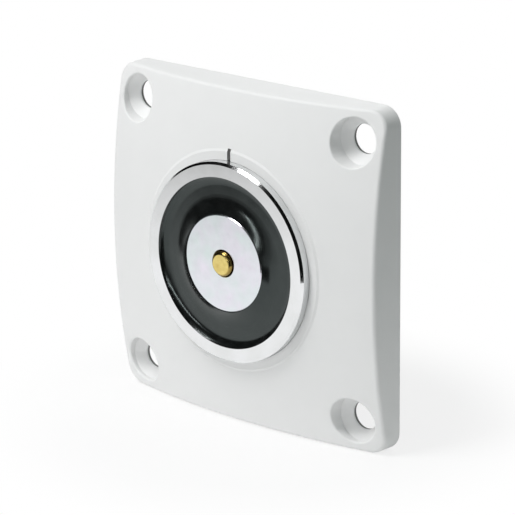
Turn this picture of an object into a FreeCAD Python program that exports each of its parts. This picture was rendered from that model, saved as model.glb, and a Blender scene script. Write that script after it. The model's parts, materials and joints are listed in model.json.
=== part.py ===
import FreeCAD, Part
import math
import os
import re

import Sketcher

# A flush door-holding electromagnet. Its cover plate lies on the wall, with the wall's face at height 0,
# and the magnet stands in the plate's middle. Heights count from the wall into the room.
# Sizes are in millimetres, angles in degrees.
SIZES = [
    # Cover plate
    ("plate_side", 85.0),
    ("plate_corner_r", 5.0),
    ("plate_draft", 2.0),
    ("plate_wall", 2.8),
    ("plate_edge_round", 1.0),
    ("dome_radius", 188.0),
    ("crown_height", 14.2),
    ("land_width", 2.75),
    ("land_step", 0.3),
    ("land_slope", 0.6),
    ("notch_width", 1.0),
    ("notch_length", 2.95),
    ("notch_depth", 1.2),
    ("sleeve_wall", 2.8),
    ("rib_width", 1.6),
    ("screw_inset", 8.25),
    ("screw_hole_d", 7.3),
    ("screw_seat_width", 2.15),
    ("screw_seat_depth", 2.85),
    ("screw_floor", 1.05),
    ("screw_rim_round", 0.4),
    ("screw_boss_wall", 1.6),
    # Steel cup and the ring that holds it in the plate
    ("pole_proud", 2.57),
    ("pot_d", 50.0),
    ("pot_wall", 3.65),
    ("pot_length", 32.0),
    ("pot_base", 5.0),
    ("pot_edge_chamfer", 0.6),
    ("pot_back_chamfer", 0.8),
    ("pot_clearance", 0.05),
    ("flange_width", 3.0),
    ("flange_thickness", 2.0),
    ("flange_seat", 5.5),
    ("ring_width", 4.6),
    ("ring_thickness", 1.2),
    ("ring_ear_margin", 1.4),
    ("ring_screw_offset", 7.75),
    ("ring_boss_wall", 2.1),
    ("ring_screw_d", 3.0),
    ("ring_screw_grip", 5.2),
    ("ring_screw_tip_room", 0.8),
    ("ring_head_d", 5.6),
    ("ring_head_height", 1.9),
    ("head_slot_width", 0.8),
    ("head_slot_depth", 0.8),
    # Core, its nut and washer
    ("core_d", 24.4),
    ("core_chamfer", 0.3),
    ("core_bore_chamfer", 0.35),
    ("spigot_d", 12.0),
    ("spigot_proud", 1.0),
    ("thread_fit", 0.05),
    ("washer_overhang", 1.0),
    ("washer_thickness", 1.2),
    ("washer_gap", 1.2),
    ("nut_flats", 18.0),
    ("nut_height", 5.0),
    ("nut_chamfer_angle", 30.0),
    # Ejector pin, spring and set screw
    ("pin_d", 6.2),
    ("pin_proud", 1.0),
    ("pin_edge_round", 0.8),
    ("pin_fit", 0.06),
    ("pin_collar_step", 0.6),
    ("pin_collar_length", 4.0),
    ("pin_stop_depth", 7.0),
    ("pin_stop_gap", 0.1),
    ("pin_stem_clearance", 0.6),
    ("pin_stem_length", 6.0),
    ("spring_clearance", 0.26),
    ("spring_wire_d", 0.9),
    ("spring_turns", 6.5),
    ("spring_end_gap", 0.05),
    ("grub_length", 6.0),
    ("grub_recess", 0.5),
    ("grub_socket_flats", 4.0),
    ("grub_socket_depth", 3.0),
    # Coil and the resin over it
    ("coil_fit", 0.2),
    ("disc_thickness", 0.5),
    ("bobbin_clearance", 0.25),
    ("bobbin_wall", 0.9),
    ("bobbin_flange", 1.0),
    ("winding_inset", 0.9),
    ("potting_depth", 5.0),
    ("potting_edge_depth", 0.6),
    ("potting_rise", 0.95),
    ("potting_bend", 2.3),
    ("potting_core_rise", 1.2),
    ("potting_core_bend", 4.6),
    ("potting_fit", 0.03),
    # Leads and their grommet
    ("lead_d", 1.5),
    ("lead_pitch", 2.4),
    ("lead_fit", 0.05),
    ("lead_grip", 3.0),
    ("lead_straight", 1.2),
    ("grommet_hole_d", 6.4),
    ("grommet_fit", 0.05),
    ("grommet_lip", 1.2),
    ("grommet_flange", 1.5),
    # Terminal block and diode
    ("terminal_gap", 0.4),
    ("terminal_length", 15.2),
    ("terminal_wall", 0.9),
    ("terminal_height", 13.0),
    ("terminal_corner_r", 0.8),
    ("terminal_floor", 2.4),
    ("terminal_pitch", 8.0),
    ("cage_inset", 1.4),
    ("cage_width", 4.0),
    ("cage_height", 5.0),
    ("cage_clearance", 0.1),
    ("wire_bore_d", 2.6),
    ("wire_axis", 2.0),
    ("clamp_inset", 2.0),
    ("clamp_screw_d", 2.8),
    ("clamp_well_room", 0.5),
    ("clamp_screw_length", 5.2),
    ("clamp_tip_gap", 0.1),
    ("fixing_screw_d", 2.5),
    ("fixing_depth", 4.0),
    ("fixing_tip_room", 0.4),
    ("fixing_head_d", 4.2),
    ("fixing_head_height", 1.6),
    ("fixing_head_room", 0.1),
    ("fixing_cover", 0.8),
    ("diode_d", 2.7),
    ("diode_length", 4.8),
    ("diode_lead_d", 0.8),
    ("diode_bend_r", 1.2),
    ("diode_standoff", 2.6),
    ("diode_grip", 2.6),
    # How far a cut starts outside the solid that it cuts
    ("cut_margin", 1.0),
]


def dome_height(radius, drop="0"):
    """Height of the domed front, or of a surface that lies drop below it, at a radius from the middle."""
    return f"(crown_height - dome_radius + sqrt((dome_radius - {drop})^2 - ({radius})^2))"


def sagitta_radius(half_width, sag):
    """Radius of an arc that is sag deep over twice half_width."""
    return f"((({half_width})^2 + ({sag})^2) / (2 * ({sag})))"


# Places that several pieces share, as expressions of the sizes
PLATE_BORE_R = "(pot_d / 2 + pot_clearance)"
LAND_R = f"({PLATE_BORE_R} + land_width)"
LAND_HEIGHT = f"({dome_height(LAND_R)} + land_step)"
POLE_HEIGHT = f"({LAND_HEIGHT} + pole_proud)"
SCREW_XY = "(plate_side / 2 - screw_inset)"
SCREW_SEAT_R = "(screw_hole_d / 2 + screw_seat_width)"
SCREW_SEAT = f"({dome_height(SCREW_XY + ' * sqrt(2)')} - screw_seat_depth)"
SCREW_FLOOR = f"({SCREW_SEAT} - screw_seat_width)"
POT_R = "(pot_d / 2)"
POT_BORE_R = f"({POT_R} - pot_wall)"
POT_BACK = f"({POLE_HEIGHT} - pot_length)"
FLANGE_R = f"({POT_R} + flange_width)"
RING_FRONT = "(flange_seat - flange_thickness)"
RING_BACK = f"({RING_FRONT} - ring_thickness)"
RING_SCREW_XY = f"(({PLATE_BORE_R} + ring_screw_offset) * sqrt(0.5))"
CORE_R = "(core_d / 2)"
CORE_SEAT = f"({POT_BACK} + pot_base)"
WASHER_R = "((nut_flats + washer_overhang) / 2)"
WASHER_BACK = f"({POT_BACK} - washer_thickness)"
NUT_BACK = f"({WASHER_BACK} - nut_height)"
SPIGOT_END = f"({NUT_BACK} - spigot_proud)"
THREADED_D = "(spigot_d + 2 * thread_fit)"
GRUB_BACK = f"({SPIGOT_END} + grub_recess)"
GRUB_FRONT = f"({GRUB_BACK} + grub_length)"
PIN_STEP = f"({POLE_HEIGHT} - pin_stop_depth)"
COLLAR_FRONT = f"({PIN_STEP} - pin_stop_gap)"
COLLAR_BACK = f"({COLLAR_FRONT} - pin_collar_length)"
COLLAR_R = "(pin_d / 2 + pin_collar_step)"
COLLAR_BORE_R = f"({COLLAR_R} + pin_fit)"
SPRING_R = f"({COLLAR_BORE_R} - spring_clearance)"
PIN_STEM_R = f"({SPRING_R} - spring_wire_d - pin_stem_clearance)"
BOBBIN_BACK = f"({CORE_SEAT} + disc_thickness)"
BOBBIN_FRONT = f"({POLE_HEIGHT} - potting_depth)"
BOBBIN_BORE_R = f"({CORE_R} + coil_fit)"
BOBBIN_HUB_R = f"({BOBBIN_BORE_R} + bobbin_wall)"
BOBBIN_R = f"({POT_BORE_R} - bobbin_clearance)"
WINDING_BACK = f"({BOBBIN_BACK} + bobbin_flange)"
WINDING_FRONT = f"({BOBBIN_FRONT} - bobbin_flange)"
COIL_MIDDLE_R = f"(({CORE_R} + {POT_BORE_R}) / 2)"
LEAD_HOLE_D = "(lead_d + 2 * lead_fit)"
TERMINAL_WIDTH = "(terminal_pitch + cage_width + 2 * cage_clearance + 2 * terminal_wall)"
TERMINAL_DROP = f"({WASHER_R} + terminal_gap + {TERMINAL_WIDTH} / 2)"
CAGE_LENGTH = "(terminal_length - 2 * cage_inset)"
CAGE_FOOT = "(terminal_floor + cage_clearance)"
CHANNEL_TOP = "(terminal_floor + cage_height + 2 * cage_clearance)"
CLAMP_X = f"({CAGE_LENGTH} / 2 - clamp_inset)"
CLAMP_TIP = f"({CAGE_FOOT} + wire_axis + lead_d / 2 + clamp_tip_gap)"
WIRE_HEIGHT = f"({CAGE_FOOT} + wire_axis)"
FIXING_SEAT = f"({CHANNEL_TOP} + fixing_cover)"
LEAD_BEND_R = f"({WIRE_HEIGHT} - grommet_flange)"
GROMMET_DROP = f"({TERMINAL_DROP} - terminal_pitch / 2 - 2 * {LEAD_BEND_R} - lead_straight)"
GROMMET_X = f"sqrt({COIL_MIDDLE_R}^2 - {GROMMET_DROP}^2)"

CORNERS = ((1, 1), (-1, 1), (-1, -1), (1, -1))
SIDES = (-1, 1)
HEX_CORNERS = 6
FULL_TURN = 360
EDGE_TOLERANCE = 0.01
SMALLEST_CUT = 1e-6

# Local Z of a piece points into the room, or back into the wall for what sits behind the magnet
TO_ROOM = FreeCAD.Rotation(FreeCAD.Vector(1, 0, 0), 90)
TO_WALL = FreeCAD.Rotation(FreeCAD.Vector(1, 0, 0), -90)

doc = FreeCAD.newDocument("door_holder")
dim = doc.addObject("Spreadsheet::Sheet", "dim")
for row, (alias, size) in enumerate(SIZES, start=1):
    dim.set(f"A{row}", alias)
    dim.set(f"B{row}", str(size))
    dim.setAlias(f"B{row}", alias)
doc.recompute()


# Sketches


def sized(text):
    """An expression of the sheet's sizes, whose names are the words with an underscore."""
    return re.sub(r"\b[a-z]+(?:_[a-z]+)+\b", r"dim.\g<0>", text)


def value(text):
    return float(dim.evalExpression(sized(text)))


def new_body(label, rotation=TO_ROOM, depth="0", drop="0"):
    """A body turned to face the room or the wall, set back by depth and lowered by drop."""
    body = doc.addObject("PartDesign::Body", label)
    body.Label = label
    body.AllowCompound = True
    body.Placement = FreeCAD.Placement(FreeCAD.Vector(0, 0, 0), rotation)
    body.setExpression("Placement.Base.y", sized(depth))
    body.setExpression("Placement.Base.z", sized(f"-({drop})"))
    return body


def rear_body(label, drop):
    """A body that stands on the back of the cup and faces the wall."""
    return new_body(label, TO_WALL, f"-{POT_BACK}", drop)


def origin_feature(body, role):
    return next(item for item in body.Origin.OriginFeatures if item.Role == role)


def new_sketch(body, name, role="XY_Plane", offset="0"):
    sketch = body.newObject("Sketcher::SketchObject", name)
    sketch.AttachmentSupport = [(origin_feature(body, role), "")]
    sketch.MapMode = "FlatFace"
    sketch.setExpression("AttachmentOffset.Base.z", sized(offset))
    return sketch


def drive(sketch, constraint, text):
    index = sketch.addConstraint(constraint)
    sketch.setExpression(f"Constraints[{index}]", sized(text))


def hold_point(sketch, geometry, end, x, y):
    drive(sketch, Sketcher.Constraint("DistanceX", -1, 1, geometry, end, value(x)), x)
    drive(sketch, Sketcher.Constraint("DistanceY", -1, 1, geometry, end, value(y)), y)


def circle(sketch, x, y, diameter):
    centre = FreeCAD.Vector(value(x), value(y), 0)
    index = sketch.addGeometry(Part.Circle(centre, FreeCAD.Vector(0, 0, 1), value(diameter) / 2))
    hold_point(sketch, index, 3, x, y)
    drive(sketch, Sketcher.Constraint("Diameter", index, value(diameter)), diameter)


def arc_between(start, end, radius, left):
    """The shorter arc from start to end that turns left or right."""
    chord = end - start
    side = FreeCAD.Vector(-chord.y, chord.x, 0).normalize() * (1 if left else -1)
    centre = (start + end) * 0.5 + side * math.sqrt(radius**2 - (chord.Length / 2) ** 2)
    spokes = [point - centre for point in ((start, end) if left else (end, start))]
    first, last = [math.atan2(spoke.y, spoke.x) for spoke in spokes]
    if last < first:
        last += 2 * math.pi
    return Part.ArcOfCircle(Part.Circle(centre, FreeCAD.Vector(0, 0, 1), radius), first, last)


def outline(sketch, points):
    """Close an outline through points (x, y). A point (x, y, radius, turn) starts an arc to the next."""
    spots = [FreeCAD.Vector(value(point[0]), value(point[1]), 0) for point in points]
    heads = []
    tails = []
    for point, start, end in zip(points, spots, spots[1:] + spots[:1]):
        left = True
        if len(point) == 2:
            index = sketch.addGeometry(Part.LineSegment(start, end))
        else:
            left = point[3] == "left"
            index = sketch.addGeometry(arc_between(start, end, value(point[2]), left))
        heads.append((index, 1 if left else 2))
        tails.append((index, 2 if left else 1))
    for tail, head in zip(tails, heads[1:] + heads[:1]):
        sketch.addConstraint(Sketcher.Constraint("Coincident", *tail, *head))
    for head, point in zip(heads, points):
        hold_point(sketch, *head, point[0], point[1])
        if len(point) > 2:
            drive(sketch, Sketcher.Constraint("Radius", head[0], value(point[2])), point[2])


def rectangle(sketch, x, y, width, height):
    """A rectangle about the point x, y."""
    left, right = f"({x} - ({width}) / 2)", f"({x} + ({width}) / 2)"
    low, high = f"({y} - ({height}) / 2)", f"({y} + ({height}) / 2)"
    outline(sketch, [(left, low), (right, low), (right, high), (left, high)])


def rounded_rectangle(sketch, width, height, corner):
    """A rectangle about the origin with round corners."""
    right, top = f"({width} / 2)", f"({height} / 2)"
    inner_x, inner_y = f"({right} - {corner})", f"({top} - {corner})"
    outline(sketch, [
        (f"-{inner_x}", f"-{top}"),
        (inner_x, f"-{top}", corner, "left"),
        (right, f"-{inner_y}"),
        (right, inner_y, corner, "left"),
        (inner_x, top),
        (f"-{inner_x}", top, corner, "left"),
        (f"-{right}", inner_y),
        (f"-{right}", f"-{inner_y}", corner, "left"),
    ])


def hexagon(sketch, flats):
    """A hexagon about the origin, with two flats level."""
    corner_r = f"({flats} / sqrt(3))"
    turns = [FULL_TURN / HEX_CORNERS * k for k in range(HEX_CORNERS)]
    outline(sketch, [(f"{corner_r} * cos({a} deg)", f"{corner_r} * sin({a} deg)") for a in turns])


def at_corners(x, y):
    """The four spots at plus or minus x and y."""
    return [(f"({sign_x} * {x})", f"({sign_y} * {y})") for sign_x, sign_y in CORNERS]


# Features


def pad(body, sketch, length, taper="0"):
    item = body.newObject("PartDesign::Pad", sketch.Name + "_pad")
    item.Profile = sketch
    item.setExpression("Length", sized(length))
    item.setExpression("TaperAngle", sized(taper))
    doc.recompute()


def start_cut(body, kind, sketch):
    doc.recompute()
    item = body.newObject("PartDesign::" + kind, sketch.Name + "_cut")
    item.Profile = sketch
    return item


def finish_cut(body, item):
    """Make a cut and test that it took something away."""
    before = body.Shape.Volume
    doc.recompute()
    if body.Shape.Volume > before - SMALLEST_CUT:
        raise RuntimeError(f"{item.Name} cuts nothing")


def pocket(body, sketch, length, upward=False):
    item = start_cut(body, "Pocket", sketch)
    item.setExpression("Length", sized(length))
    item.Reversed = upward
    finish_cut(body, item)


def pocket_both_ways(body, sketch, length):
    item = start_cut(body, "Pocket", sketch)
    item.SideType = "Symmetric"
    item.setExpression("Length", sized(length))
    finish_cut(body, item)


def groove(body, sketch, axis="V_Axis"):
    item = start_cut(body, "Groove", sketch)
    item.ReferenceAxis = (sketch, [axis])
    finish_cut(body, item)
    return item


def revolve(body, name, points):
    """Turn an outline of radius and height about the body's axis."""
    sketch = new_sketch(body, name, "XZ_Plane")
    outline(sketch, points)
    item = body.newObject("PartDesign::Revolution", name + "_turn")
    item.Profile = sketch
    item.ReferenceAxis = (sketch, ["V_Axis"])
    doc.recompute()


def polar_copies(body, item, count):
    pattern = body.newObject("PartDesign::PolarPattern", item.Name + "_pattern")
    pattern.Originals = [item]
    pattern.Axis = (origin_feature(body, "Z_Axis"), [""])
    pattern.Angle = FULL_TURN
    pattern.Occurrences = count
    body.Tip = pattern
    doc.recompute()


def dress_edges(body, kind, size, wanted):
    """Round or bevel the edges of the body that wanted(edge) picks."""
    base = body.Tip
    names = [f"Edge{k}" for k, edge in enumerate(base.Shape.Edges, start=1) if wanted(edge)]
    if not names:
        raise RuntimeError(f"{body.Label} has no edge to dress")
    item = body.newObject("PartDesign::" + kind, f"{base.Name}_{kind}")
    item.Base = (base, names)
    item.setExpression("Radius" if kind == "Fillet" else "Size", sized(size))
    doc.recompute()


def circle_at(radius, height):
    """Picks the round edges of a radius at a height, in the body's own frame."""
    def wanted(edge):
        if not isinstance(edge.Curve, Part.Circle):
            return False
        same_size = abs(edge.Curve.Radius - value(radius)) < EDGE_TOLERANCE
        return same_size and abs(edge.Curve.Center.z - value(height)) < EDGE_TOLERANCE
    return wanted


# Cover plate: a drafted square under a shallow dome, hollow behind, with bosses, ribs and a sleeve


def dome_edge(edge):
    """Picks the outer edge of the domed front."""
    middle = edge.valueAt((edge.FirstParameter + edge.LastParameter) / 2)
    radius = math.hypot(middle.x, middle.y)
    if max(abs(middle.x), abs(middle.y)) < value("plate_side / 2 - plate_wall"):
        return False
    return abs(middle.z - value(dome_height(radius))) < EDGE_TOLERANCE


def screw_rim(edge):
    """Picks the rims of the screw holes in the domed front."""
    for vertex in edge.Vertexes:
        x, y, z = vertex.Point
        from_hole = math.hypot(abs(x) - value(SCREW_XY), abs(y) - value(SCREW_XY))
        on_rim = abs(from_hole - value(SCREW_SEAT_R)) < EDGE_TOLERANCE
        on_dome = abs(z - value(dome_height(math.hypot(x, y)))) < EDGE_TOLERANCE
        if not (on_rim and on_dome):
            return False
    return True


def trim_to_dome(body, name, drop, dome_start, middle_points):
    """Cut away what stands above the dome, or above a surface drop below it.

    The dome starts at a radius of dome_start, and middle_points lead there from the axis.
    """
    reach = "(plate_side * sqrt(0.5) + cut_margin)"
    top = "(crown_height + 2 * cut_margin)"
    sketch = new_sketch(body, name, "XZ_Plane")
    outline(sketch, middle_points + [
        (dome_start, dome_height(dome_start, drop), f"(dome_radius - {drop})", "right"),
        (reach, dome_height(reach, drop)),
        (reach, top),
        ("0", top),
    ])
    groove(body, sketch)


def make_plate_blank():
    body = new_body("plate_blank")
    square = new_sketch(body, "plate_square")
    rounded_rectangle(square, "plate_side", "plate_side", "plate_corner_r")
    pad(body, square, "crown_height + cut_margin", "-plate_draft")
    trim_to_dome(body, "plate_dome", "0", LAND_R, [
        ("0", LAND_HEIGHT),
        (f"({LAND_R} - land_slope)", LAND_HEIGHT),
    ])
    dress_edges(body, "Fillet", "plate_edge_round", dome_edge)

    bore = new_sketch(body, "plate_bore", offset="crown_height + cut_margin")
    circle(bore, "0", "0", f"2 * {PLATE_BORE_R}")
    pocket(body, bore, "crown_height + 2 * cut_margin")

    notch = new_sketch(body, "plate_notch", offset=f"{LAND_HEIGHT} + cut_margin")
    middle = f"({PLATE_BORE_R} + (notch_length - cut_margin) / 2)"
    rectangle(notch, "0", middle, "notch_width", "notch_length + cut_margin")
    pocket(body, notch, "notch_depth + cut_margin")

    taps = new_sketch(body, "plate_taps", offset="-cut_margin")
    for spot in at_corners(RING_SCREW_XY, RING_SCREW_XY):
        circle(taps, *spot, "ring_screw_d + 2 * thread_fit")
    pocket(body, taps, f"{RING_FRONT} + ring_screw_grip + ring_screw_tip_room + cut_margin", upward=True)

    hole = new_sketch(body, "plate_screw_hole", "XZ_Plane", f"-{SCREW_XY}")
    narrow, wide = f"({SCREW_XY} + screw_hole_d / 2)", f"({SCREW_XY} + {SCREW_SEAT_R})"
    outline(hole, [
        (SCREW_XY, "-cut_margin"),
        (narrow, "-cut_margin"),
        (narrow, SCREW_FLOOR),
        (wide, SCREW_SEAT),
        (wide, "(crown_height + cut_margin)"),
        (SCREW_XY, "(crown_height + cut_margin)"),
    ])
    polar_copies(body, groove(body, hole, "Edge6"), len(CORNERS))
    dress_edges(body, "Fillet", "screw_rim_round", screw_rim)
    return body


def make_plate_hollow():
    """The space behind the plate. What stays solid there is cut out of it."""
    body = new_body("plate_hollow")
    inner_side = "(plate_side - 2 * plate_wall)"
    square = new_sketch(body, "hollow_square", offset="-cut_margin")
    rounded_rectangle(square, inner_side, inner_side, "(plate_corner_r - plate_wall)")
    pad(body, square, "crown_height + 2 * cut_margin", "-plate_draft")
    trim_to_dome(body, "hollow_dome", "plate_wall", "0", [])

    sleeve = new_sketch(body, "hollow_sleeve", offset="flange_seat")
    circle(sleeve, "0", "0", f"2 * ({PLATE_BORE_R} + sleeve_wall)")
    pocket(body, sleeve, "crown_height", upward=True)

    bosses = new_sketch(body, "hollow_ring_bosses", offset=RING_FRONT)
    for spot in at_corners(RING_SCREW_XY, RING_SCREW_XY):
        circle(bosses, *spot, "ring_screw_d + 2 * ring_boss_wall")
    pocket(body, bosses, "crown_height", upward=True)

    corners = new_sketch(body, "hollow_screw_bosses", offset=f"{SCREW_FLOOR} - screw_floor")
    for spot in at_corners(SCREW_XY, SCREW_XY):
        circle(corners, *spot, f"2 * ({SCREW_SEAT_R} + screw_boss_wall)")
    pocket(body, corners, "crown_height", upward=True)

    for name, width, height in (("level", "plate_side", "rib_width"), ("upright", "rib_width", "plate_side")):
        rib = new_sketch(body, f"hollow_{name}_rib", offset="flange_seat")
        rectangle(rib, "0", "0", width, height)
        pocket(body, rib, "crown_height", upward=True)
    return body


def make_cover_plate():
    plate = doc.addObject("Part::Cut", "cover_plate")
    plate.Base = make_plate_blank()
    plate.Tool = make_plate_hollow()
    doc.recompute()
    return plate


# Steel cup with the flange that the ring clamps, and the ring with its screws


def make_magnet_pot():
    body = new_body("magnet_pot")
    hole_r = f"({THREADED_D} / 2)"
    revolve(body, "pot_section", [
        (hole_r, POT_BACK),
        (POT_R, POT_BACK),
        (POT_R, RING_FRONT),
        (FLANGE_R, RING_FRONT),
        (FLANGE_R, "flange_seat"),
        (POT_R, "flange_seat"),
        (POT_R, POLE_HEIGHT),
        (POT_BORE_R, POLE_HEIGHT),
        (POT_BORE_R, CORE_SEAT),
        (hole_r, CORE_SEAT),
    ])
    dress_edges(body, "Chamfer", "pot_edge_chamfer", circle_at(POT_R, POLE_HEIGHT))
    dress_edges(body, "Chamfer", "pot_back_chamfer", circle_at(POT_R, POT_BACK))

    lead_hole = new_sketch(body, "pot_lead_hole", offset=POT_BACK)
    circle(lead_hole, GROMMET_X, f"-{GROMMET_DROP}", "grommet_hole_d")
    pocket(body, lead_hole, "pot_base", upward=True)

    tap = new_sketch(body, "pot_terminal_tap", offset=POT_BACK)
    circle(tap, "0", f"-{TERMINAL_DROP}", "fixing_screw_d + 2 * thread_fit")
    pocket(body, tap, "fixing_depth + fixing_tip_room", upward=True)
    return body


def make_retaining_ring():
    body = new_body("retaining_ring")
    spots = at_corners(RING_SCREW_XY, RING_SCREW_XY)
    disc = new_sketch(body, "ring_disc", offset=RING_BACK)
    circle(disc, "0", "0", f"2 * ({PLATE_BORE_R} + ring_width)")
    pad(body, disc, "ring_thickness")
    ears = new_sketch(body, "ring_ears", offset=RING_BACK)
    for spot in spots:
        circle(ears, *spot, "ring_head_d + 2 * ring_ear_margin")
    pad(body, ears, "ring_thickness")
    holes = new_sketch(body, "ring_holes", offset=RING_BACK)
    circle(holes, "0", "0", f"2 * {PLATE_BORE_R}")
    for spot in spots:
        circle(holes, *spot, "ring_screw_d + 2 * thread_fit")
    pocket(body, holes, "ring_thickness", upward=True)
    return body


def make_retaining_screws():
    body = new_body("retaining_screws")
    shanks = new_sketch(body, "ring_screw_shanks", offset=RING_BACK)
    heads = new_sketch(body, "ring_screw_heads", offset=f"{RING_BACK} - ring_head_height")
    slots = new_sketch(body, "ring_screw_slots", offset=f"{RING_BACK} - ring_head_height")
    for spot in at_corners(RING_SCREW_XY, RING_SCREW_XY):
        circle(shanks, *spot, "ring_screw_d")
        circle(heads, *spot, "ring_head_d")
        rectangle(slots, *spot, "ring_head_d + cut_margin", "head_slot_width")
    pad(body, shanks, "ring_thickness + ring_screw_grip")
    pad(body, heads, "ring_head_height")
    pocket(body, slots, "head_slot_depth", upward=True)
    return body


# Core, clamped to the base of the cup by its threaded spigot


def make_pole_core():
    body = new_body("pole_core")
    pin_bore_r = "(pin_d / 2 + pin_fit)"
    revolve(body, "core_section", [
        (COLLAR_BORE_R, SPIGOT_END),
        ("(spigot_d / 2)", SPIGOT_END),
        ("(spigot_d / 2)", CORE_SEAT),
        (CORE_R, CORE_SEAT),
        (CORE_R, POLE_HEIGHT),
        (pin_bore_r, POLE_HEIGHT),
        (pin_bore_r, PIN_STEP),
        (COLLAR_BORE_R, PIN_STEP),
    ])
    dress_edges(body, "Chamfer", "core_chamfer", circle_at(CORE_R, POLE_HEIGHT))
    dress_edges(body, "Chamfer", "core_bore_chamfer", circle_at(pin_bore_r, POLE_HEIGHT))
    return body


def make_core_lock_washer():
    body = new_body("core_lock_washer")
    disc = new_sketch(body, "washer_disc", offset=WASHER_BACK)
    circle(disc, "0", "0", f"2 * {WASHER_R}")
    circle(disc, "0", "0", THREADED_D)
    pad(body, disc, "washer_thickness")
    gap = new_sketch(body, "washer_split", offset=WASHER_BACK)
    rectangle(gap, "0", WASHER_R, "washer_gap", f"2 * {WASHER_R}")
    pocket(body, gap, "washer_thickness", upward=True)
    return body


def make_core_nut():
    body = new_body("core_nut")
    section = new_sketch(body, "nut_hexagon", offset=NUT_BACK)
    hexagon(section, "nut_flats")
    circle(section, "0", "0", THREADED_D)
    pad(body, section, "nut_height")
    bevel = new_sketch(body, "nut_bevel", "XZ_Plane")
    flat_r, outer_r = "(nut_flats / 2)", "(nut_flats / sqrt(3) + cut_margin)"
    outline(bevel, [
        (flat_r, NUT_BACK),
        (outer_r, NUT_BACK),
        (outer_r, f"({NUT_BACK} + ({outer_r} - {flat_r}) * tan(nut_chamfer_angle * 1 deg))"),
    ])
    groove(body, bevel)
    return body


# Ejector pin, which the spring pushes out and the set screw holds in


def make_ejector_pin():
    body = new_body("ejector_pin")
    tail, tip = f"({COLLAR_BACK} - pin_stem_length)", f"({POLE_HEIGHT} + pin_proud)"
    revolve(body, "pin_section", [
        ("0", tail),
        (PIN_STEM_R, tail),
        (PIN_STEM_R, COLLAR_BACK),
        (COLLAR_R, COLLAR_BACK),
        (COLLAR_R, COLLAR_FRONT),
        ("(pin_d / 2)", COLLAR_FRONT),
        ("(pin_d / 2)", tip),
        ("0", tip),
    ])
    dress_edges(body, "Fillet", "pin_edge_round", circle_at("pin_d / 2", tip))
    return body


def make_ejector_spring():
    body = new_body("ejector_spring")
    wire = new_sketch(body, "spring_wire", "XZ_Plane")
    foot = f"({GRUB_FRONT} + spring_end_gap + spring_wire_d / 2)"
    circle(wire, f"({SPRING_R} - spring_wire_d / 2)", foot, "spring_wire_d")
    coil = body.newObject("PartDesign::AdditiveHelix", "spring_coil")
    coil.Profile = wire
    coil.ReferenceAxis = (wire, ["V_Axis"])
    coil.Mode = "height-turns-angle"
    coil.setExpression("Height", sized(f"{COLLAR_BACK} - {GRUB_FRONT} - 2 * spring_end_gap - spring_wire_d"))
    coil.setExpression("Turns", sized("spring_turns"))
    doc.recompute()
    return body


def make_spring_grub_screw():
    body = new_body("spring_grub_screw")
    rod = new_sketch(body, "grub_rod", offset=GRUB_BACK)
    circle(rod, "0", "0", f"2 * ({COLLAR_BORE_R} - thread_fit)")
    pad(body, rod, "grub_length")
    socket = new_sketch(body, "grub_socket", offset=GRUB_BACK)
    hexagon(socket, "grub_socket_flats")
    pocket(body, socket, "grub_socket_depth", upward=True)
    return body


# Coil on its bobbin, the disc under it and the resin over it


def lead_holes(sketch, y):
    """The two holes that the coil's leads pass through."""
    for side in SIDES:
        circle(sketch, f"({GROMMET_X} + {side} * lead_pitch / 2)", y, LEAD_HOLE_D)


def make_insulating_disc():
    body = new_body("insulating_disc")
    sheet = new_sketch(body, "insulating_sheet", offset=CORE_SEAT)
    circle(sheet, "0", "0", f"2 * {BOBBIN_R}")
    circle(sheet, "0", "0", f"2 * {BOBBIN_BORE_R}")
    lead_holes(sheet, f"-{GROMMET_DROP}")
    pad(body, sheet, "disc_thickness")
    return body


def make_coil_bobbin():
    body = new_body("coil_bobbin")
    revolve(body, "bobbin_section", [
        (BOBBIN_BORE_R, BOBBIN_BACK),
        (BOBBIN_R, BOBBIN_BACK),
        (BOBBIN_R, WINDING_BACK),
        (BOBBIN_HUB_R, WINDING_BACK),
        (BOBBIN_HUB_R, WINDING_FRONT),
        (BOBBIN_R, WINDING_FRONT),
        (BOBBIN_R, BOBBIN_FRONT),
        (BOBBIN_BORE_R, BOBBIN_FRONT),
    ])
    holes = new_sketch(body, "bobbin_lead_holes", offset=BOBBIN_BACK)
    lead_holes(holes, f"-{GROMMET_DROP}")
    pocket(body, holes, "bobbin_flange", upward=True)
    return body


def make_coil_winding():
    body = new_body("coil_winding")
    ring = new_sketch(body, "winding_ring", offset=WINDING_BACK)
    circle(ring, "0", "0", f"2 * ({BOBBIN_R} - winding_inset)")
    circle(ring, "0", "0", f"2 * {BOBBIN_HUB_R}")
    pad(body, ring, f"{WINDING_FRONT} - {WINDING_BACK}")
    return body


def make_potting_ring():
    body = new_body("potting_ring")
    outer_r, inner_r = f"({POT_BORE_R} - potting_fit)", f"({CORE_R} + potting_fit)"
    edge = f"({POLE_HEIGHT} - potting_edge_depth)"
    level = f"({edge} - potting_rise)"
    bend_r = sagitta_radius("potting_bend", "potting_rise")
    core_bend_r = sagitta_radius("potting_core_bend", "potting_core_rise")
    revolve(body, "potting_section", [
        (inner_r, BOBBIN_FRONT),
        (outer_r, BOBBIN_FRONT),
        (outer_r, edge, bend_r, "right"),
        (f"({outer_r} - potting_bend)", level),
        (f"({inner_r} + potting_core_bend)", level, core_bend_r, "right"),
        (inner_r, f"({level} + potting_core_rise)"),
    ])
    return body


# Leads, grommet, terminal block and diode behind the cup


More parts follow.
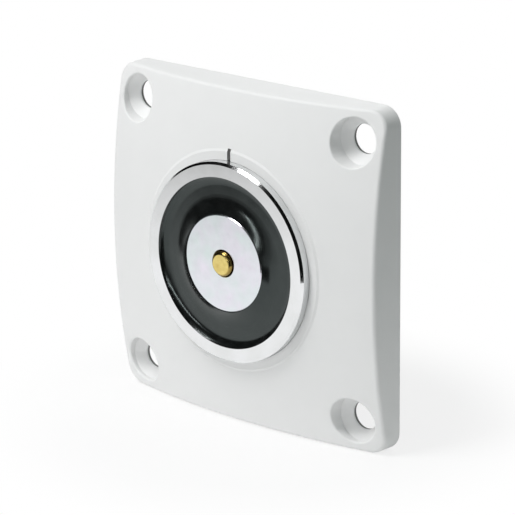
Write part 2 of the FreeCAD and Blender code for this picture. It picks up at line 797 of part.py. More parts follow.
def make_lead_grommet():
    body = rear_body("lead_grommet", GROMMET_DROP)
    neck = new_sketch(body, "grommet_neck", offset="-pot_base")
    circle(neck, GROMMET_X, "0", "grommet_hole_d - 2 * grommet_fit")
    pad(body, neck, "pot_base")
    flange = new_sketch(body, "grommet_disc")
    circle(flange, GROMMET_X, "0", "grommet_hole_d + 2 * grommet_lip")
    pad(body, flange, "grommet_flange")
    holes = new_sketch(body, "grommet_holes", offset="grommet_flange")
    lead_holes(holes, "0")
    pocket(body, holes, "pot_base + grommet_flange")
    return body


def routed_wire(points, bend_r):
    """A wire of straight runs through points, with a tangent arc at each corner between them."""
    edges = []
    start = points[0]
    for before, corner, after in zip(points, points[1:], points[2:]):
        back = (before - corner).normalize()
        ahead = (after - corner).normalize()
        setback = bend_r / math.tan(back.getAngle(ahead) / 2)
        reach = math.hypot(setback, bend_r) - bend_r
        leave, join = corner + back * setback, corner + ahead * setback
        edges.append(Part.LineSegment(start, leave).toShape())
        edges.append(Part.Arc(leave, corner + (back + ahead).normalize() * reach, join).toShape())
        start = join
    edges.append(Part.LineSegment(start, points[-1]).toShape())
    return Part.Wire(edges)


def tube(points, diameter, bend_r):
    """A round solid along a routed wire."""
    path = routed_wire(points, bend_r)
    end = Part.Circle(points[0], points[1] - points[0], diameter / 2)
    solid = path.makePipeShell([Part.Wire([end.toShape()])], True, False)
    expected = math.pi * diameter**2 / 4 * path.Length
    if abs(solid.Volume - expected) > expected * EDGE_TOLERANCE:
        raise RuntimeError("a tube doesn't follow its path")
    return solid


def solid_part(label, shape):
    item = doc.addObject("Part::Feature", label)
    item.Label = label
    item.Shape = shape
    item.Placement = FreeCAD.Placement()
    return item


def wire_depth():
    """How far behind the wall's face the terminals hold their wires."""
    return value(f"-{POT_BACK} + {WIRE_HEIGHT}")


def terminal_level(side):
    return value(f"-{TERMINAL_DROP} + {side} * terminal_pitch / 2")


def make_lead(label, grommet_side, terminal_side):
    """A lead from the winding through the grommet, down beside the terminal block and into it."""
    x = value(f"{GROMMET_X} + {grommet_side} * lead_pitch / 2")
    z = value(f"-{GROMMET_DROP}")
    start = FreeCAD.Vector(x, value(f"-{WINDING_BACK}"), z)
    over = FreeCAD.Vector(x, wire_depth(), z)
    beside = FreeCAD.Vector(x, wire_depth(), terminal_level(terminal_side))
    end = FreeCAD.Vector(value(f"{CAGE_LENGTH} / 2 - lead_grip"), beside.y, beside.z)
    return solid_part(label, tube([start, over, beside, end], value("lead_d"), value(LEAD_BEND_R)))


def make_terminal_body():
    body = rear_body("terminal_body", TERMINAL_DROP)
    block = new_sketch(body, "terminal_block")
    rounded_rectangle(block, "terminal_length", TERMINAL_WIDTH, "terminal_corner_r")
    pad(body, block, "terminal_height")

    channels = new_sketch(body, "terminal_channels", "YZ_Plane")
    middle = f"((terminal_floor + {CHANNEL_TOP}) / 2)"
    for side in SIDES:
        rectangle(channels, f"{side} * terminal_pitch / 2", middle,
                  "cage_width + 2 * cage_clearance", f"{CHANNEL_TOP} - terminal_floor")
    pocket_both_ways(body, channels, "terminal_length + 2 * cut_margin")

    wells = new_sketch(body, "terminal_wells", offset="terminal_height")
    for spot in at_corners(CLAMP_X, "terminal_pitch / 2"):
        circle(wells, *spot, "clamp_screw_d + 2 * clamp_well_room")
    pocket(body, wells, f"terminal_height - {CHANNEL_TOP} + cage_clearance")

    head_well = new_sketch(body, "terminal_head_well", offset="terminal_height")
    circle(head_well, "0", "0", "fixing_head_d + 2 * fixing_head_room")
    pocket(body, head_well, f"terminal_height - {FIXING_SEAT}")
    hole = new_sketch(body, "terminal_fixing_hole", offset="terminal_height")
    circle(hole, "0", "0", "fixing_screw_d + 2 * thread_fit")
    pocket(body, hole, "terminal_height")
    return body


def make_terminal_cages():
    body = rear_body("terminal_cages", TERMINAL_DROP)
    blocks = new_sketch(body, "cage_blocks", offset=CAGE_FOOT)
    bores = new_sketch(body, "cage_wire_bores", "YZ_Plane")
    for side in SIDES:
        rectangle(blocks, "0", f"{side} * terminal_pitch / 2", CAGE_LENGTH, "cage_width")
        circle(bores, f"{side} * terminal_pitch / 2", WIRE_HEIGHT, "wire_bore_d")
    pad(body, blocks, "cage_height")
    pocket_both_ways(body, bores, f"{CAGE_LENGTH} + 2 * cut_margin")
    taps = new_sketch(body, "cage_taps", offset=f"{CAGE_FOOT} + cage_height")
    for spot in at_corners(CLAMP_X, "terminal_pitch / 2"):
        circle(taps, *spot, "clamp_screw_d + 2 * thread_fit")
    pocket(body, taps, "cage_height - wire_axis")
    return body


def make_terminal_clamp_screws():
    body = rear_body("terminal_clamp_screws", TERMINAL_DROP)
    rods = new_sketch(body, "clamp_rods", offset=CLAMP_TIP)
    slots = new_sketch(body, "clamp_slots", offset=f"{CLAMP_TIP} + clamp_screw_length")
    for spot in at_corners(CLAMP_X, "terminal_pitch / 2"):
        circle(rods, *spot, "clamp_screw_d")
        rectangle(slots, *spot, "clamp_screw_d + cut_margin", "head_slot_width")
    pad(body, rods, "clamp_screw_length")
    pocket(body, slots, "head_slot_depth")
    return body


def make_terminal_fixing_screw():
    body = rear_body("terminal_fixing_screw", TERMINAL_DROP)
    rod = new_sketch(body, "fixing_rod", offset="-fixing_depth")
    circle(rod, "0", "0", "fixing_screw_d")
    pad(body, rod, f"fixing_depth + {FIXING_SEAT}")
    head = new_sketch(body, "fixing_head", offset=FIXING_SEAT)
    circle(head, "0", "0", "fixing_head_d")
    pad(body, head, "fixing_head_height")
    slot = new_sketch(body, "fixing_slot", offset=f"{FIXING_SEAT} + fixing_head_height")
    rectangle(slot, "0", "0", "fixing_head_d + cut_margin", "head_slot_width")
    pocket(body, slot, "head_slot_depth")
    return body


def make_suppression_diode():
    """A diode whose two wires bend into the supply side of the terminals."""
    x = value("-(terminal_length / 2 + diode_standoff)")
    inside = value(f"-({CAGE_LENGTH} / 2 - diode_grip)")
    y = wire_depth()
    top, bottom = terminal_level(1), terminal_level(-1)
    spots = ((inside, y, top), (x, y, top), (x, y, bottom), (inside, y, bottom))
    route = [FreeCAD.Vector(*spot) for spot in spots]
    wires = tube(route, value("diode_lead_d"), value("diode_bend_r"))
    foot = FreeCAD.Vector(x, y, value(f"-{TERMINAL_DROP} - diode_length / 2"))
    case = Part.makeCylinder(value("diode_d / 2"), value("diode_length"), foot)
    return solid_part("suppression_diode", case.fuse(wires).removeSplitter())


parts = [
    make_cover_plate(),
    make_magnet_pot(),
    make_retaining_ring(),
    make_retaining_screws(),
    make_pole_core(),
    make_core_lock_washer(),
    make_core_nut(),
    make_ejector_pin(),
    make_ejector_spring(),
    make_spring_grub_screw(),
    make_insulating_disc(),
    make_coil_bobbin(),
    make_coil_winding(),
    make_potting_ring(),
    make_lead_grommet(),
    make_lead("lead_red", -1, 1),
    make_lead("lead_black", 1, -1),
    make_terminal_body(),
    make_terminal_cages(),
    make_terminal_clamp_screws(),
    make_terminal_fixing_screw(),
    make_suppression_diode(),
]

doc.recompute()
for item in doc.Objects:
    if "Invalid" in item.State or "Error" in item.State:
        raise RuntimeError(f"{item.Name} did not build")
for part in parts:
    if part.Shape.isNull() or not part.Shape.isValid():
        raise RuntimeError(f"{part.Label} has no valid shape")

os.makedirs("parts", exist_ok=True)
for part in parts:
    part.Shape.exportStep(f"parts/{part.Label}.step")
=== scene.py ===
import json
import math

import bpy
from mathutils import Matrix, Vector


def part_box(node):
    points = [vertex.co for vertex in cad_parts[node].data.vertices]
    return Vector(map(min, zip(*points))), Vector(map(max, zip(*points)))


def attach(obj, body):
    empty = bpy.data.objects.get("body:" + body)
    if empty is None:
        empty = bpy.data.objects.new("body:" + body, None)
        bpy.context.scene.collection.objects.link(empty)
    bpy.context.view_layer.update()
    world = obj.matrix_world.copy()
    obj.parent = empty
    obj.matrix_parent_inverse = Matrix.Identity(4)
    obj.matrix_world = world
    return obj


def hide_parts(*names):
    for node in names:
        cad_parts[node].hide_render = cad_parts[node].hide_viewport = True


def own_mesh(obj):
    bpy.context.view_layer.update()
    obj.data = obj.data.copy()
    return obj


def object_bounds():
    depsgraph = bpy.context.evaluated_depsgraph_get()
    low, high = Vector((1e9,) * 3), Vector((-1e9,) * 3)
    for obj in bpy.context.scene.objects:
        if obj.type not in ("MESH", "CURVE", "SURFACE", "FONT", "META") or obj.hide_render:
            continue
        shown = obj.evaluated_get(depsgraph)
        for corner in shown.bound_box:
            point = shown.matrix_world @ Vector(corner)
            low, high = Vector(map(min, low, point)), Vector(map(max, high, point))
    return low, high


# A door-holding electromagnet in its square cover plate, standing on a white table.
# The plate's back is the plane y = 0, its front faces -Y, and lengths are in metres.
MM = 0.001

# Camera, set about the middle of the plate's back. Pixels are those of the square picture.
PICTURE = 515
SENSOR = 36.0
CAMERA_AZIMUTH = math.radians(41.25)
CAMERA_ELEVATION = math.radians(17.31)
CAMERA_ROLL = math.radians(-0.6)
CAMERA_DISTANCE = 646.5 * MM
FOCAL_PIXELS = 2639.0
SHIFT_PIXELS = (6.5, -8.3)

# White table under the plate, as x and y in millimetres from its front left corner round. It is cut back at
# the front right and at the left, where metal and resin would show too much of it.
TABLE_CORNERS = [
    (-400, -1400), (350, -1400), (80, -260), (12, -200), (12, -98), (80, -95), (140, -115),
    (140, 0), (90, 42), (300, 140), (300, 250), (-140, 250), (-140, -85), (-400, -400),
]
TABLE_COLOR = (0.90, 0.90, 0.90, 1.0)

# Near the part the table keeps a share of the part's shadow. What the metal shows of it gets dimmer far away.
SHADOW_SHARE = 0.22
SHADOW_NEAR = 45 * MM
SHADOW_FAR = 78 * MM
GLOSS_NEAR = 120 * MM
GLOSS_FAR = 380 * MM
GLOSS_DIMMEST = 0.33

# Softboxes: name, azimuth and elevation in degrees, distance, width, height, watts
SOFTBOXES = [
    ("key_softbox", -25, 57, 0.75, 0.24, 0.31, 3.10),
    ("front_softbox", 4, 12, 0.60, 0.60, 0.03, 0.57),
    ("top_softbox", -20, 84, 0.55, 0.30, 0.30, 0.30),
    ("rim_softbox", -150, 32, 0.60, 0.25, 0.25, 0.30),
    ("rear_softbox", 190, 28, 0.60, 0.40, 0.40, 0.40),
]

# The light that the room gives at its far left and far right
ROOM_LEFT = 0.42
ROOM_RIGHT = 0.22
ROOM_LEFT_COLOR = (1.0, 1.0, 1.0)
ROOM_RIGHT_COLOR = (0.88, 0.98, 0.95)

# What the metal shows of the room: dark in front, and rising to the rear level between two depths.
# A direction to the right counts as deeper by a share. So does one to the left where it is low: from the
# first of two heights down, and fully from the second. Depths and heights are a direction's, from -1 to 1.
ROOM_GLOSS_FRONT = 0.003
ROOM_GLOSS_REAR = 0.35
ROOM_REAR_FROM = 0.1
ROOM_REAR_TO = 0.7
ROOM_SIDE_SHARE = 0.6
ROOM_LOW_FROM = 0.15
ROOM_LOW_TO = -0.05
ROOM_LOW_LEFT = 1.15

# The resin's open surface: how much it falls for each length outwards, where it keeps its level, and how far
# in front of the resin's back it begins
RESIN_FALL = 0.05
RESIN_LEVEL_RADIUS = 16.8 * MM
RESIN_SKIN = 1 * MM

# The middle part of a noise, which is spread over the range that a material asks for
NOISE_LOW = 0.3
NOISE_HIGH = 0.7

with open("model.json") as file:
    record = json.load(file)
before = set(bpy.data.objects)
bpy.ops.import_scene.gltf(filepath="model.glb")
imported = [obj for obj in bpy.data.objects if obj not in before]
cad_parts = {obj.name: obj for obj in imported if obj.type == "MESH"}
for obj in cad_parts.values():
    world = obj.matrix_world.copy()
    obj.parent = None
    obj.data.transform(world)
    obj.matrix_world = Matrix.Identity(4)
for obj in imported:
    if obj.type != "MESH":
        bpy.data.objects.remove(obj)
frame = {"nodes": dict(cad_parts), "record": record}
cad_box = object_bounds()


def direction(azimuth, elevation):
    """The direction to a point at an azimuth, counted from -Y towards +X, and an elevation."""
    level = math.cos(elevation)
    return Vector((math.sin(azimuth) * level, -math.cos(azimuth) * level, math.sin(elevation)))


def link(item):
    bpy.context.scene.collection.objects.link(item)
    return item


# Node trees


def add(tree, kind, inputs=(), **settings):
    """Add a node, with its settings, and with each input set to a value or linked to an output."""
    node = tree.nodes.new("ShaderNode" + kind)
    for name, setting in settings.items():
        setattr(node, name, setting)
    for socket, given in dict(inputs).items():
        if isinstance(given, bpy.types.NodeSocket):
            tree.links.new(given, node.inputs[socket])
        else:
            node.inputs[socket].default_value = given
    return node


def reckon(tree, operation, *values):
    return add(tree, "Math", dict(enumerate(values)), operation=operation).outputs["Value"]


def remap(tree, value, start, end, low=0.0, high=1.0, kind="LINEAR"):
    """Spread a value's stretch from start to end over the range from low to high."""
    spread = {"Value": value, "From Min": start, "From Max": end, "To Min": low, "To Max": high}
    return add(tree, "MapRange", spread, interpolation_type=kind).outputs["Result"]


def between(tree, factor, first, second):
    """A number from first to second. The sockets of such a mix have the places 0, 2 and 3."""
    return add(tree, "Mix", {0: factor, 2: first, 3: second}).outputs[0]


def place(tree):
    """Where a point lies in the part's own frame."""
    return add(tree, "TexCoord").outputs["Object"]


def split(tree, vector):
    return add(tree, "SeparateXYZ", {0: vector}).outputs


def stretched(tree, vector, scale):
    return add(tree, "VectorMath", {0: vector, 1: scale}, operation="MULTIPLY").outputs["Vector"]


def length(tree, vector):
    return add(tree, "VectorMath", {0: vector}, operation="LENGTH").outputs["Value"]


def axis_distance(tree, vector):
    """How far a point lies from the Y axis."""
    return length(tree, stretched(tree, vector, (1, 0, 1)))


def noise(tree, vector, size, detail=3.0):
    """Noise from 0 to 1 with features about size wide."""
    return add(tree, "TexNoise", {"Vector": vector, "Scale": 1 / size, "Detail": detail}).outputs["Fac"]


def turned_lines(tree, vector, size):
    """Noise in rings about the Y axis, as a turned surface has them."""
    travel = reckon(tree, "ADD", axis_distance(tree, vector), split(tree, vector)["Y"])
    return add(tree, "TexNoise", {"W": travel, "Scale": 1 / size}, noise_dimensions="1D").outputs["Fac"]


def vary(tree, factor, low=0.0, high=1.0):
    """Spread the middle of a noise over a range."""
    return remap(tree, factor, NOISE_LOW, NOISE_HIGH, low, high)


def blend(tree, factor, first, second):
    """A colour from first to second, each a colour or an output."""
    mix = add(tree, "Mix", {"Factor": factor}, data_type="RGBA")
    for socket, given in (("A", first), ("B", second)):
        target = next(item for item in mix.inputs if item.name == socket and item.type == "RGBA")
        if isinstance(given, bpy.types.NodeSocket):
            tree.links.new(given, target)
        else:
            target.default_value = (*given, 1.0)
    return next(item for item in mix.outputs if item.type == "RGBA")


def bump(tree, height, depth, under=None):
    """The normal of a surface whose heights from 0 to 1 are depth apart, over another such normal."""
    inputs = {"Height": height, "Distance": depth, "Strength": 1.0}
    if under is not None:
        inputs["Normal"] = under
    return add(tree, "Bump", inputs).outputs["Normal"]


def new_material(name, color, roughness, metallic=0.0, **sockets):
    """A material with plain values, its tree and its shader's inputs."""
    material = bpy.data.materials.new(name)
    material.use_nodes = True
    tree = material.node_tree
    shader = tree.nodes["Principled BSDF"]
    shader.inputs["Base Color"].default_value = (*color, 1.0)
    shader.inputs["Roughness"].default_value = roughness
    shader.inputs["Metallic"].default_value = metallic
    for socket, given in sockets.items():
        shader.inputs[socket.replace("_", " ")].default_value = given
    return material, tree, shader.inputs


def dress(tree, inputs, color, roughness, normal):
    """Link what a material's colour, roughness and normal come from."""
    tree.links.new(color, inputs["Base Color"])
    tree.links.new(roughness, inputs["Roughness"])
    tree.links.new(normal, inputs["Normal"])


def shade_over(tree, factor, color):
    """Lay another colour over a material's colour, by a factor."""
    base = tree.nodes["Principled BSDF"].inputs["Base Color"]
    tree.links.new(blend(tree, factor, base.links[0].from_socket, color), base)


def shade_within(tree, limits, color):
    """Give another colour to the points of a material that keep to all the limits."""
    inside = 1.0
    for source, operation, limit in limits:
        inside = reckon(tree, "MULTIPLY", inside, reckon(tree, operation, source, limit))
    shade_over(tree, inside, color)


def darker(color, share):
    return tuple(channel * share for channel in color)


# Materials


def satin_plastic(name, color, roughness, grain_size=0.25 * MM):
    """Moulded plastic with a fine grain, slight waves and uneven gloss."""
    cloud_size, cloud_share = 7 * MM, 0.97
    gloss_size, gloss_range = 3 * MM, 0.05
    wave_size, wave_depth, wave_detail = 12 * MM, 0.02 * MM, 1.0
    grain_depth = 0.004 * MM
    material, tree, inputs = new_material(name, color, roughness)
    spot = place(tree)
    clouds = blend(tree, noise(tree, spot, cloud_size), darker(color, cloud_share), color)
    gloss = vary(tree, noise(tree, spot, gloss_size), roughness - gloss_range, roughness + gloss_range)
    waves = bump(tree, noise(tree, spot, wave_size, wave_detail), wave_depth)
    dress(tree, inputs, clouds, gloss, bump(tree, noise(tree, spot, grain_size), grain_depth, waves))
    return material


def plate_plastic():
    """The plate's plastic, with painted shade in the index notch and in the narrow bores of the screw holes.
    """
    # The second colour is painted shade for the index notch, the third painted shade for the narrow bores of
    # the screw holes.
    color, dust_and_painted_shade, bore_shade = (0.84, 0.84, 0.84), (0.40, 0.40, 0.40), (0.16, 0.16, 0.16)
    roughness = 0.52
    notch_half, notch_bottom, notch_top, notch_depth = 0.52 * MM, 25.0 * MM, 28.02 * MM, 1.22 * MM
    bore_margin, bore_shade_from = 0.05 * MM, -2.45 * MM
    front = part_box("cover_plate")[0].y
    screws = next(row["dims"] for row in frame["record"]["mounts"] if row["name"] == "wall_screws")
    hole_middle = (screws["spacing_x_mm"] / 2 * MM, 0, screws["spacing_y_mm"] / 2 * MM)
    material = satin_plastic("plate_plastic", color, roughness)
    tree = material.node_tree
    spot = place(tree)
    x, y, z = split(tree, spot)
    quarter = add(tree, "VectorMath", {0: spot}, operation="ABSOLUTE").outputs["Vector"]
    from_hole = add(tree, "VectorMath", {0: quarter, 1: hole_middle}, operation="SUBTRACT").outputs["Vector"]
    # Painted shade in the index notch.
    shade_within(tree, [
        (reckon(tree, "ABSOLUTE", x), "LESS_THAN", notch_half),
        (z, "GREATER_THAN", notch_bottom),
        (z, "LESS_THAN", notch_top),
        (y, "LESS_THAN", front + notch_depth),
    ], dust_and_painted_shade)
    # Painted shade in the narrow bores of the screw holes, from a depth back to the plate's back.
    shade_within(tree, [
        (axis_distance(tree, from_hole), "LESS_THAN", screws["hole_r_mm"] * MM + bore_margin),
        (y, "GREATER_THAN", bore_shade_from),
    ], bore_shade)
    return material


def turned_metal(name, color, tint, roughness, line_depth, tint_size=6 * MM):
    """Metal turned about the part's axis, with a tint that comes and goes."""
    gloss_size, gloss_below, gloss_above = 2.5 * MM, 0.04, 0.06
    line_size, wave_size, wave_depth = 0.12 * MM, 4 * MM, 0.004 * MM
    material, tree, inputs = new_material(name, color, roughness, 1.0)
    spot = place(tree)
    tinted = blend(tree, vary(tree, noise(tree, spot, tint_size)), color, tint)
    gloss = vary(tree, noise(tree, spot, gloss_size), roughness - gloss_below, roughness + gloss_above)
    lines = bump(tree, turned_lines(tree, spot, line_size), line_depth)
    dress(tree, inputs, tinted, gloss, bump(tree, noise(tree, spot, wave_size), wave_depth, lines))
    return material


def paint_shade_between_radii(material, starts, full, ends, color):
    """Paint shade onto a turned material, towards another colour between radii, up to the radius where that
    ends.
    """
    tree = material.node_tree
    radius = axis_distance(tree, place(tree))
    share = remap(tree, radius, starts, full, kind="SMOOTHSTEP")
    shade_over(tree, reckon(tree, "MULTIPLY", share, reckon(tree, "LESS_THAN", radius, ends)), color)


def turned_brass():
    """Bright brass, with painted shade on the pin's rounded edge."""
    color, tint = (0.90, 0.75, 0.28), (0.72, 0.55, 0.18)
    material = turned_metal("brass", color, tint, roughness=0.20, line_depth=0.006 * MM, tint_size=2 * MM)
    # Painted shade, dark brown, on the pin's rounded edge.
    paint_shade_between_radii(material, starts=2.3 * MM, full=2.9 * MM, ends=3.3 * MM, color=(0.34, 0.24, 0.07))
    return material


def core_steel():
    """Ground steel with faint tints, and painted shade in the mouth of the pin's bore, round the pin."""
    color, tint = (0.74, 0.83, 0.82), (0.83, 0.80, 0.88)
    material = turned_metal("core_steel", color, tint, roughness=0.20, line_depth=0.002 * MM)
    # Painted shade, near black, in the mouth of the pin's bore.
    paint_shade_between_radii(material, starts=1.0 * MM, full=3.0 * MM, ends=3.4 * MM, color=(0.10, 0.09, 0.08))
    return material


def plated_cup():
    color, tint = (0.84, 0.85, 0.86), (0.78, 0.79, 0.79)
    return turned_metal("plated_cup", color, tint, roughness=0.10, line_depth=0.001 * MM)


def plated_metal(name, color, roughness):
    """Plated steel with a fine crystal pattern."""
    crystal_size, gloss_below, gloss_above = 0.7 * MM, 0.06, 0.08
    patch_size, patch_share = 1.5 * MM, 0.82
    grain_size, grain_depth = 0.3 * MM, 0.006 * MM
    material, tree, inputs = new_material(name, color, roughness, 1.0)
    spot = place(tree)
    crystals = add(tree, "TexVoronoi", {"Vector": spot, "Scale": 1 / crystal_size}).outputs["Distance"]
    patches = blend(tree, vary(tree, noise(tree, spot, patch_size)), darker(color, patch_share), color)
    gloss = vary(tree, crystals, roughness - gloss_below, roughness + gloss_above)
    dress(tree, inputs, patches, gloss, bump(tree, noise(tree, spot, grain_size), grain_depth))
    return material


def cast_resin():
    """Black potting resin, glossy, with the slight waves of a poured surface."""
    color, dusty, gloss_tint = (0.004, 0.0045, 0.0045), (0.009, 0.010, 0.010), (0.86, 1.0, 0.98, 1.0)
    roughness, gloss_range, refraction = 0.17, 0.04, 1.62
    dust_size, gloss_size = 3 * MM, 2 * MM
    wave_size, wave_depth, wave_detail = 5 * MM, 0.05 * MM, 1.0
    grain_size, grain_depth = 0.4 * MM, 0.002 * MM
    material, tree, inputs = new_material("resin", color, roughness, IOR=refraction, Specular_Tint=gloss_tint)
    spot = place(tree)
    dust_and_painted_shade = blend(tree, vary(tree, noise(tree, spot, dust_size)), color, dusty)
    gloss = vary(tree, noise(tree, spot, gloss_size), roughness - gloss_range, roughness + gloss_range)
    waves = bump(tree, noise(tree, spot, wave_size, wave_detail), wave_depth)
    dress(tree, inputs, dust_and_painted_shade, gloss, bump(tree, noise(tree, spot, grain_size), grain_depth, waves))
    return material


def wound_copper():
    """Enamelled copper wire, laid turn by turn along the coil, with painted shade in the gaps between the
    turns.
    """
    # The second colour is painted shade for the gaps between the turns.
    color, gap_shade_color = (0.66, 0.27, 0.12), (0.45, 0.16, 0.07)
    roughness, smoothest, roughest, enamel = 0.3, 0.22, 0.4, 0.5
    wire_pitch, wire_depth, gloss_size = 0.30 * MM, 0.08 * MM, 1 * MM
    bands_at_scale_one = 10 / math.pi
    material, tree, inputs = new_material("copper_wire", color, roughness, 1.0, Coat_Weight=enamel)
    spot = place(tree)
    wave = {"Vector": spot, "Scale": 1 / (wire_pitch * bands_at_scale_one), "Distortion": 0.0}
    turns = add(tree, "TexWave", wave, bands_direction="Y").outputs["Fac"]
    gloss = vary(tree, noise(tree, spot, gloss_size), smoothest, roughest)
    dress(tree, inputs, blend(tree, turns, gap_shade_color, color), gloss, bump(tree, turns, wire_depth))
    return material


def pressed_board():
    """Brown insulating board with fibres that lie one way."""
    color, paler = (0.30, 0.19, 0.10), (0.42, 0.29, 0.17)
    roughness, smoothest, roughest = 0.8, 0.7, 0.9
    fibre_size, fibre_depth, fibre_stretch = 1.2 * MM, 0.02 * MM, (1, 1, 8)
    material, tree, inputs = new_material("insulation_board", color, roughness)
    fibres = noise(tree, stretched(tree, place(tree), fibre_stretch), fibre_size)
    shades = blend(tree, vary(tree, fibres), color, paler)
    dress(tree, inputs, shades, vary(tree, fibres, smoothest, roughest), bump(tree, fibres, fibre_depth))
    return material


def soft_rubber():
    """Black rubber with a grey bloom."""
    color, fresh, bloomed = (0.018, 0.018, 0.018), (0.014, 0.014, 0.014), (0.035, 0.034, 0.033)
    roughness, smoothest, roughest = 0.7, 0.6, 0.82
    bloom_size, grain_size, grain_depth = 1.5 * MM, 0.15 * MM, 0.01 * MM
    material, tree, inputs = new_material("grommet_rubber", color, roughness)
    spot = place(tree)
    bloom = noise(tree, spot, bloom_size)
    shades = blend(tree, vary(tree, bloom), fresh, bloomed)
    grain = bump(tree, noise(tree, spot, grain_size), grain_depth)
    dress(tree, inputs, shades, vary(tree, bloom, smoothest, roughest), grain)
    return material


def wire_insulation(name, color):
    """Soft wire covering with uneven colour and gloss."""
    roughness, smoothest, roughest = 0.38, 0.32, 0.46
    patch_size, patch_share, gloss_size = 2 * MM, 0.8, 0.8 * MM
    grain_size, grain_depth = 0.3 * MM, 0.004 * MM
    material, tree, inputs = new_material(name, color, roughness)
    spot = place(tree)
    patches = blend(tree, vary(tree, noise(tree, spot, patch_size)), darker(color, patch_share), color)
    gloss = vary(tree, noise(tree, spot, gloss_size), smoothest, roughest)
    dress(tree, inputs, patches, gloss, bump(tree, noise(tree, spot, grain_size), grain_depth))
    return material


def diode_finish():
    """Black case with a pale band at its upper end. The wires beyond the ends are tinned."""
    epoxy, band, tin = (0.02, 0.02, 0.022), (0.62, 0.63, 0.64), (0.72, 0.72, 0.73)
    roughness, smoothest, roughest = 0.4, 0.3, 0.45
    case_half, band_low, band_high = 2.4 * MM, 1.0 * MM, 1.8 * MM
    gloss_size, grain_size, grain_depth = 0.6 * MM, 0.2 * MM, 0.004 * MM
    low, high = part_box("suppression_diode")
    material, tree, inputs = new_material("diode_case", epoxy, roughness)
    spot = place(tree)
    offset = reckon(tree, "SUBTRACT", split(tree, spot)["Z"], (low.z + high.z) / 2)
    wire = reckon(tree, "GREATER_THAN", reckon(tree, "ABSOLUTE", offset), case_half)
    above = reckon(tree, "GREATER_THAN", offset, band_low)
    below = reckon(tree, "LESS_THAN", offset, band_high)
    case = blend(tree, reckon(tree, "MULTIPLY", above, below), epoxy, band)
    gloss = vary(tree, noise(tree, spot, gloss_size), smoothest, roughest)
    grain = bump(tree, noise(tree, spot, grain_size), grain_depth)
    dress(tree, inputs, blend(tree, wire, case, tin), gloss, grain)
    tree.links.new(wire, inputs["Metallic"])
    return material


def dress_nodes():
    """Give each node the finish of its material slot."""
    finishes = {
        "plate_plastic": plate_plastic(),
        "plated_cup": plated_cup(),
        "core_steel": core_steel(),
        "zinc_steel": plated_metal("zinc_steel", (0.70, 0.71, 0.72), roughness=0.32),
        "spring_steel": plated_metal("spring_steel", (0.50, 0.51, 0.53), roughness=0.30),
        "brass": turned_brass(),
        "resin": cast_resin(),
        "bobbin_nylon": satin_plastic("bobbin_nylon", (0.76, 0.72, 0.60), roughness=0.5),
        "copper_wire": wound_copper(),
        "insulation_board": pressed_board(),
        "grommet_rubber": soft_rubber(),
        "red_insulation": wire_insulation("red_insulation", (0.50, 0.015, 0.012)),
        "black_insulation": wire_insulation("black_insulation", (0.018, 0.018, 0.020)),
        "terminal_plastic": satin_plastic(
            "terminal_plastic", (0.74, 0.73, 0.67), roughness=0.45, grain_size=0.15 * MM),
        "diode_case": diode_finish(),
    }
    slots = {row["node"]: row["material_slot"] for row in frame["record"]["subparts"]}
    for name, item in frame["nodes"].items():
        item.material_slots[0].material = finishes[slots[name]]


# Pieces that stand for solids


def stand_in(name, node):
    """A copy of a solid's mesh that is shown in its place on the holder."""
    solid = frame["nodes"][node]
    piece = link(bpy.data.objects.new(name, solid.data.copy()))
    piece.matrix_world = solid.matrix_world
    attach(piece, "holder")
    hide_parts(node)
    return piece


def seat_spring():
    """The spring behind the pin, as a piece of its own on the holder, in place of the solid."""
    coil = stand_in("ejector_spring_coil", "ejector_spring")
    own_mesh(coil)


def pour_resin():
    """The resin, as a piece whose open surface falls a little from the core to the rim."""
    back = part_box("potting_ring")[1].y
    resin = stand_in("potting_ring_poured", "potting_ring")
    for vertex in resin.data.vertices:
        if vertex.co.y < back - RESIN_SKIN:
            vertex.co.y += RESIN_FALL * (math.hypot(vertex.co.x, vertex.co.z) - RESIN_LEVEL_RADIUS)


# Stage


def table_finish():
    """White to the camera, metal and glass, with a soft share of the part's shadow close to the part."""
    material = bpy.data.materials.new("table")
    material.use_nodes = True
    tree = material.node_tree
    path = add(tree, "LightPath").outputs
    distance = length(tree, stretched(tree, place(tree), (1, 1, 0)))
    mirrored = reckon(tree, "MAXIMUM", path["Is Glossy Ray"], path["Is Transmission Ray"])
    seen = reckon(tree, "MAXIMUM", path["Is Camera Ray"], mirrored)
    plain = remap(tree, distance, SHADOW_NEAR, SHADOW_FAR, 1 - SHADOW_SHARE, 1.0, "SMOOTHSTEP")
    dimmer = remap(tree, distance, GLOSS_NEAR, GLOSS_FAR, 1.0, GLOSS_DIMMEST, "SMOOTHSTEP")
    strength = between(tree, path["Is Glossy Ray"], 1.0, dimmer)
    cloth = add(tree, "BsdfDiffuse", {"Color": TABLE_COLOR}).outputs["BSDF"]
    white = add(tree, "Emission", {"Strength": strength}).outputs["Emission"]
    mix = {0: reckon(tree, "MULTIPLY", plain, seen), 1: cloth, 2: white}
    mixed = add(tree, "MixShader", mix).outputs["Shader"]
    tree.links.new(mixed, tree.nodes["Material Output"].inputs["Surface"])
    return material


def lay_table():
    """A white table top at the foot of the plate."""
    corners = [(x * MM, y * MM, cad_box[0].z) for x, y in TABLE_CORNERS]
    mesh = bpy.data.meshes.new("table")
    mesh.from_pydata(corners, [], [range(len(corners))])
    mesh.materials.append(table_finish())
    link(bpy.data.objects.new("table", mesh))


def hang_softbox(name, azimuth, elevation, distance, width, height, watts):
    """A rectangular lamp that faces the middle of the plate's back and isn't seen by the camera."""
    data = bpy.data.lights.new(name, "AREA")
    data.shape = "RECTANGLE"
    data.size, data.size_y = width, height
    data.energy = watts
    lamp = link(bpy.data.objects.new(name, data))
    away = direction(math.radians(azimuth), math.radians(elevation))
    lamp.location = away * distance
    lamp.rotation_euler = away.to_track_quat("Z", "Y").to_euler()
    lamp.visible_camera = False


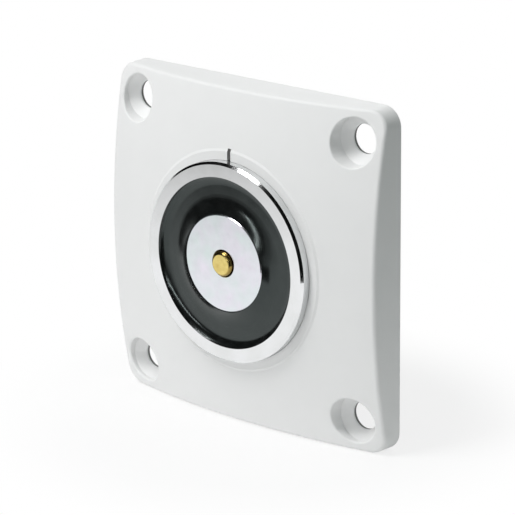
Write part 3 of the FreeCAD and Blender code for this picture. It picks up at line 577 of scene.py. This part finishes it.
def light_room():
    """A dim room, lighter on the left, white to the camera and mostly dark in what the metal shows of it."""
    world = bpy.data.worlds.new("room")
    bpy.context.scene.world = world
    world.use_nodes = True
    tree = world.node_tree
    background = tree.nodes["Background"].inputs
    path = add(tree, "LightPath").outputs
    side, depth, height = split(tree, add(tree, "TexCoord").outputs["Generated"])
    rightness = remap(tree, side, -1.0, 1.0)
    level = between(tree, rightness, ROOM_LEFT, ROOM_RIGHT)
    low = remap(tree, height, ROOM_LOW_FROM, ROOM_LOW_TO, 0.0, -ROOM_LOW_LEFT)
    sideways = reckon(tree, "MAXIMUM", side, reckon(tree, "MULTIPLY", side, low))
    deeper = reckon(tree, "MULTIPLY_ADD", sideways, ROOM_SIDE_SHARE, depth)
    gloss = remap(
        tree, deeper, ROOM_REAR_FROM, ROOM_REAR_TO, ROOM_GLOSS_FRONT, ROOM_GLOSS_REAR, "SMOOTHSTEP")
    strength = between(tree, path["Is Glossy Ray"], level, gloss)
    tint = blend(tree, rightness, ROOM_LEFT_COLOR, ROOM_RIGHT_COLOR)
    tree.links.new(between(tree, path["Is Camera Ray"], strength, 1.0), background["Strength"])
    tree.links.new(blend(tree, path["Is Camera Ray"], tint, (1, 1, 1)), background["Color"])


def aim_camera():
    """The camera at the picture's viewing angle, with the small shift that its framing needs."""
    back = direction(CAMERA_AZIMUTH, CAMERA_ELEVATION)
    right = Vector((math.cos(CAMERA_AZIMUTH), math.sin(CAMERA_AZIMUTH), 0))
    axes = Matrix((right, back.cross(right), back)).transposed().to_4x4()
    roll = Matrix.Rotation(CAMERA_ROLL, 4, "Z")
    data = bpy.data.cameras.new("camera")
    data.sensor_width = SENSOR
    data.lens = FOCAL_PIXELS / PICTURE * SENSOR
    data.shift_x = -SHIFT_PIXELS[0] / PICTURE
    data.shift_y = SHIFT_PIXELS[1] / PICTURE
    camera = link(bpy.data.objects.new("camera", data))
    camera.matrix_world = Matrix.Translation(back * CAMERA_DISTANCE) @ axes @ roll
    bpy.context.scene.camera = camera


dress_nodes()
seat_spring()
pour_resin()
lay_table()
for softbox in SOFTBOXES:
    hang_softbox(*softbox)
light_room()
aim_camera()
bpy.context.scene.view_settings.view_transform = "Standard"
